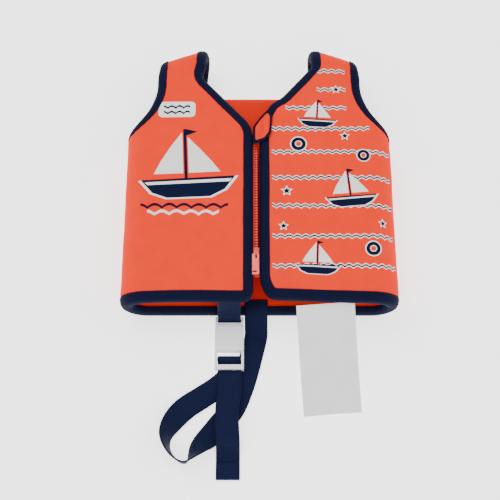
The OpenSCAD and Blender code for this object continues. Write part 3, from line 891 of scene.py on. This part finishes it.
class VEST_OT_zip(bpy.types.Operator):
    """Finishes the zip's tapes, teeth, slider and pull"""

    bl_idname = "vest.zip"
    bl_label = "Zip"

    def execute(self, context):
        tape = cloth_material("Zip tape", (0.85, 0.04, 0.03), threads=3000, depth=0.4)
        plastic = plastic_material("Zip plastic", (0.93, 0.07, 0.05), 0.35, 0.2)
        pull = plastic_material("Pull plastic", (0.97, 0.12, 0.09), 0.3, 0.2)
        for name in ("zip_tape_left", "zip_tape_right", "zip_tape_right_top"):
            paint(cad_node(name), tape)
        for name in ("zip_teeth_left", "zip_teeth_right", "zip_teeth_right_top", "zip_top_stops",
                     "zip_box", "zip_pin", "zip_slider"):
            paint(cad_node(name), plastic)
        soften(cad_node("zip_slider"), 0.0003)
        soften(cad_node("zip_box"), 0.0003)
        paint(soften(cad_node("zip_pull"), 0.0004), pull)
        return {"FINISHED"}


class VEST_OT_guard(bpy.types.Operator):
    """Builds the padded zip guard with its bound edge"""

    bl_idname = "vest.guard"
    bl_label = "Zip guard"

    def execute(self, context):
        low, high = (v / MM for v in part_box("zip_guard_binding"))
        x0, x1 = low.x, high.x
        w = x1 - x0
        y0, y1 = low.y, high.y
        h = y1 - y0
        pts = [
            (x0, y0), (x0, y0 + h * 0.52), (x0 + w * 0.42, y0 + h * 0.8), (x0 + w * 0.86, y1),
            (x1, y0 + h * 0.84), (x0 + w * 0.93, y0 + h * 0.26), (x0 + w * 0.6, y0 + h * 0.04),
        ]
        loop = rounded(pts + pts[:2], (4,) * (len(pts)))[1:-1]
        ring = resample(loop + [loop[0]], 1.2)[:-1]
        mid = ring.mean(axis=0)

        def lift(x):
            t = min(max((x - x0) / (w * 0.72), 0), 1)
            return low.z + (high.z - 3.0 - low.z) * t

        rings = []
        levels = ((1.0, 1.5), (1.01, 2.2), (0.97, 3.0), (0.9, 3.3), (0.8, 3.1), (0.76, 2.6),
                  (0.7, 3.0), (0.45, 3.7), (0.2, 3.9), (0.02, 3.95))
        for k, z in levels:
            rings.append([(*(mid + (p - mid) * k), lift(p[0]) + z) for p in ring])
        under = [[(*(mid + (p - mid) * k), lift(p[0]) + z) for p in ring]
                 for k, z in ((0.97, 0.5), (0.85, 0.15), (0.4, 0.1), (0.02, 0.1))]
        rows = under[::-1] + rings
        m = len(ring)
        verts = [v for r in rows for v in r]
        faces = []
        for i in range(len(rows) - 1):
            for k in range(m):
                a, b = i * m + k, i * m + (k + 1) % m
                faces.append((a, b, b + m, a + m))
        faces.append(tuple(range(m))[::-1])
        end = (len(rows) - 1) * m
        faces.append(tuple(range(end, end + m)))
        obj = add_mesh("zip_guard_flap", verts, faces, [(v[0] * MM, v[1] * MM) for v in verts], 60)
        obj.data.materials.append(binding_material())
        obj.data.materials.append(cover_material())
        for poly in obj.data.polygons:
            row = min(poly.vertices) // m
            poly.material_index = 1 if row >= len(under) + 5 or row < 2 else 0
        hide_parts("zip_guard", "zip_guard_binding")
        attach(obj, "guard")
        return {"FINISHED"}


class VEST_OT_buckle(bpy.types.Operator):
    """Finishes the side-release buckle"""

    bl_idname = "vest.buckle"
    bl_label = "Buckle"

    def execute(self, context):
        white = plastic_material("Buckle plastic", (0.84, 0.85, 0.86), 0.22, 0.12)
        for name in ("buckle_plug", "buckle_socket", "buckle_arm_left", "buckle_arm_right"):
            paint(soften(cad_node(name), 0.0006), white)
        return {"FINISHED"}


class VEST_OT_webbing(bpy.types.Operator):
    """Lays the webbing: loop, crotch strap, turn round the lock and tail"""

    bl_idname = "vest.webbing"
    bl_label = "Webbing"

    def execute(self, context):
        f = Frame()
        width, thick = WEB_WIDTH, WEB_THICK
        mid, side = centre_line(f, STRAP, 6, width, thick)
        tmid, tside = centre_line(f, TAIL, 6, width, thick)
        low, high = (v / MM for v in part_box("strap_turn"))
        r = (high.z - low.z) / 2 - thick / 2
        cy, cz = high.y - r - thick / 2, (low.z + high.z) / 2
        arc = [((low.x + high.x) / 2, cy + r * math.cos(a), cz + r * math.sin(a))
               for a in np.radians(np.linspace(-75, 130, 16))]
        run = np.vstack([mid, arc, tmid])
        across = np.vstack([side, np.tile([-1.0, 0, 0], (len(arc), 1)), -tside])
        t = np.gradient(run, axis=0)
        t /= np.linalg.norm(t, axis=1)[:, None]
        strap, length = ribbon("crotch_webbing", run, across, np.cross(t, across), width, thick)
        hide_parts("crotch_strap", "strap_turn", "strap_tail")
        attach(strap, "socket")
        low, high = (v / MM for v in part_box("strap_end"))
        x = (low.x + high.x) / 2
        ys = np.linspace(high.y, low.y + 1.2, 14)
        fold = [(x, y, low.z + 0.85) for y in ys]
        fold += [(x, low.y + 1.2 - 0.8 * math.sin(math.pi * k / 6),
                  low.z + 1.65 - 0.8 * math.cos(math.pi * k / 6)) for k in range(1, 6)]
        fold += [(x, y, low.z + 2.45) for y in ys[::-1]]
        end = flat_ribbon("tail_fold", fold, width, thick)
        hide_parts("strap_end")
        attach(end, "socket")
        low, high = (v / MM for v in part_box("webbing_loop"))
        x = (low.x + high.x) / 2
        r = LOOP_R + thick / 2
        cy, cz = low.y + LOOP_R + thick, low.z + LOOP_R + thick
        path = [(x, high.y - 0.8, high.z), (x, high.y - 2.2, high.z - 6),
                (x, high.y - 5, high.z - 18), (x, cy + r + 0.6, cz + 12)]
        path = [tuple(p) for p in smooth_path([(*p, 0) for p in path], 6)[:, :3]]
        path += [(x, cy + r * math.cos(a), cz + r * math.sin(a))
                 for a in np.radians(np.linspace(20, -200, 24))]
        path += [(x, cy + r - 2.2, cz + 12), (x, high.y - 6.8, high.z - 18),
                 (x, high.y - 4, high.z - 6), (x, high.y - 2.5, high.z)]
        loop = flat_ribbon("loop_webbing", resample(np.array(path), 1.2), width, thick)
        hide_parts("webbing_loop")
        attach(loop, "vest")
        return {"FINISHED"}


class VEST_OT_label(bpy.types.Operator):
    """Hangs the blank care label from the right hem"""

    bl_idname = "vest.label"
    bl_label = "Care label"

    def execute(self, context):
        f = Frame()
        low, high = (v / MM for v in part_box("care_label"))
        turn = math.radians(4.4)
        width, length = LABEL_WIDTH, LABEL_LENGTH
        run = math.sqrt(length**2 - high.z**2)
        cols, rows = 20, 36
        verts, uvs = [], []
        for lift in (0.25, -0.25):
            for j in range(rows + 1):
                t = j / rows
                for i in range(cols + 1):
                    u = (i / cols - 0.5) * width
                    z = high.z * (1 - t) - 4 * math.sin(math.pi * t) + low.z * t + 0.25
                    z += 0.9 * math.sin(u * 0.09 + 1) * math.sin(math.pi * t)
                    z += 1.1 * t * t * math.cos(u * 0.11) if t > 0.6 else 0
                    y = -run * t
                    x = LABEL_X + math.cos(turn) * u - math.sin(turn) * y
                    yy = f.hem - 1.2 + math.sin(turn) * u + math.cos(turn) * y
                    verts.append((x, yy, z + lift))
                    uvs.append((u * MM, y * MM))
        n = (cols + 1) * (rows + 1)
        faces = []
        for j in range(rows):
            for i in range(cols):
                a = j * (cols + 1) + i
                faces.append((a, a + cols + 1, a + cols + 2, a + 1))
                faces.append((n + a, n + a + 1, n + a + cols + 2, n + a + cols + 1))
        rim = list(range(cols + 1))
        rim += [j * (cols + 1) + cols for j in range(1, rows + 1)]
        rim += [rows * (cols + 1) + i for i in range(cols - 1, -1, -1)]
        rim += [j * (cols + 1) for j in range(rows - 1, 0, -1)]
        for a, b in zip(rim, rim[1:] + rim[:1]):
            faces.append((a, b, n + b, n + a))
        obj = paint(add_mesh("care_label_cloth", verts, faces, uvs, 60), label_material())
        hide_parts("care_label")
        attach(obj, "label")
        return {"FINISHED"}


class VEST_OT_stage(bpy.types.Operator):
    """Adds the floor, lights and camera"""

    bl_idname = "vest.stage"
    bl_label = "Stage"

    def execute(self, context):
        scene = context.scene
        mesh = bpy.data.meshes.new("floor")
        s = 30.0
        mesh.from_pydata([(-s, -s, 0), (s, -s, 0), (s, s, 0), (-s, s, 0)], [], [(0, 1, 2, 3)])
        floor = bpy.data.objects.new("floor", mesh)
        scene.collection.objects.link(floor)
        mat, _, bsdf = new_material("Floor")
        bsdf.inputs["Base Color"].default_value = (0.97, 0.97, 0.97, 1)
        bsdf.inputs["Roughness"].default_value = 0.9
        bsdf.inputs["Emission Color"].default_value = (1, 1, 1, 1)
        bsdf.inputs["Emission Strength"].default_value = 1.7
        paint(floor, mat)
        floor.location.z = -0.0004
        objs = [floor]
        for name, place, power, size in (
            ("key", (-0.9, 0.7, 1.9), 30, 1.6),
            ("fill", (1.4, -0.4, 1.6), 16, 1.8),
            ("front", (0.0, -1.6, 1.3), 11, 1.6),
        ):
            data = bpy.data.lights.new(name, "AREA")
            data.energy = power
            data.size = size
            light = bpy.data.objects.new(name, data)
            light.location = place
            aim = Vector((0, -0.05, 0)) - light.location
            light.rotation_euler = aim.to_track_quat("-Z", "Y").to_euler()
            scene.collection.objects.link(light)
            objs.append(light)
        world = bpy.data.worlds.new("studio")
        world.use_nodes = True
        world.node_tree.nodes["Background"].inputs["Color"].default_value = (1, 1, 1, 1)
        world.node_tree.nodes["Background"].inputs["Strength"].default_value = 0.9
        scene.world = world
        cam = bpy.data.cameras.new("camera")
        cam.lens = 70
        cam.sensor_width = 36
        eye = bpy.data.objects.new("camera", cam)
        target = Vector((-0.0102, -0.0826, 0.030))
        tilt = math.radians(68)
        eye.location = target + 1.069 * Vector((0, -math.cos(tilt), math.sin(tilt)))
        eye.rotation_euler = (target - eye.location).to_track_quat("-Z", "Y").to_euler()
        scene.collection.objects.link(eye)
        scene.camera = eye
        return {"FINISHED"}


NODES = {}


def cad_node(name):
    return NODES[name]


class VestSettings(bpy.types.PropertyGroup):
    grid: bpy.props.FloatProperty(
        name="Mesh spacing", description="Distance between points inside a panel",
        default=0.006, min=0.003, max=0.02, unit="LENGTH",
    )
    edge_roll: bpy.props.FloatProperty(
        name="Edge roll", description="Distance over which a padded edge rounds down",
        default=0.014, min=0.008, max=0.03, unit="LENGTH",
    )
    ripple: bpy.props.FloatProperty(
        name="Unevenness", description="Height of the slow waves in the padding",
        default=0.0006, min=0.0, max=0.003, unit="LENGTH",
    )


OPERATORS = (
    VEST_OT_panels, VEST_OT_bindings, VEST_OT_zip, VEST_OT_guard, VEST_OT_buckle,
    VEST_OT_webbing, VEST_OT_label, VEST_OT_stage,
)


class VEST_PT_panel(bpy.types.Panel):
    """Buttons for each group of the vest"""

    bl_label = "Swim Vest"
    bl_idname = "VEST_PT_panel"
    bl_space_type = "VIEW_3D"
    bl_region_type = "UI"
    bl_category = "Swim Vest"

    def draw(self, context):
        for prop in ("grid", "edge_roll", "ripple"):
            self.layout.prop(context.scene.swim_vest, prop)
        for op in OPERATORS:
            self.layout.operator(op.bl_idname)


CLASSES = (VestSettings, *OPERATORS, VEST_PT_panel)


def register():
    for cls in CLASSES:
        bpy.utils.register_class(cls)
    bpy.types.Scene.swim_vest = bpy.props.PointerProperty(type=VestSettings)


def unregister():
    del bpy.types.Scene.swim_vest
    for cls in reversed(CLASSES):
        bpy.utils.unregister_class(cls)


def main():
    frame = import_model()
    NODES.update(frame["nodes"])
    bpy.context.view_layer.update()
    register()
    for op in OPERATORS:
        group, name = op.bl_idname.split(".")
        getattr(getattr(bpy.ops, group), name)()
    bpy.context.view_layer.update()


if __name__ == "__main__":
    main()
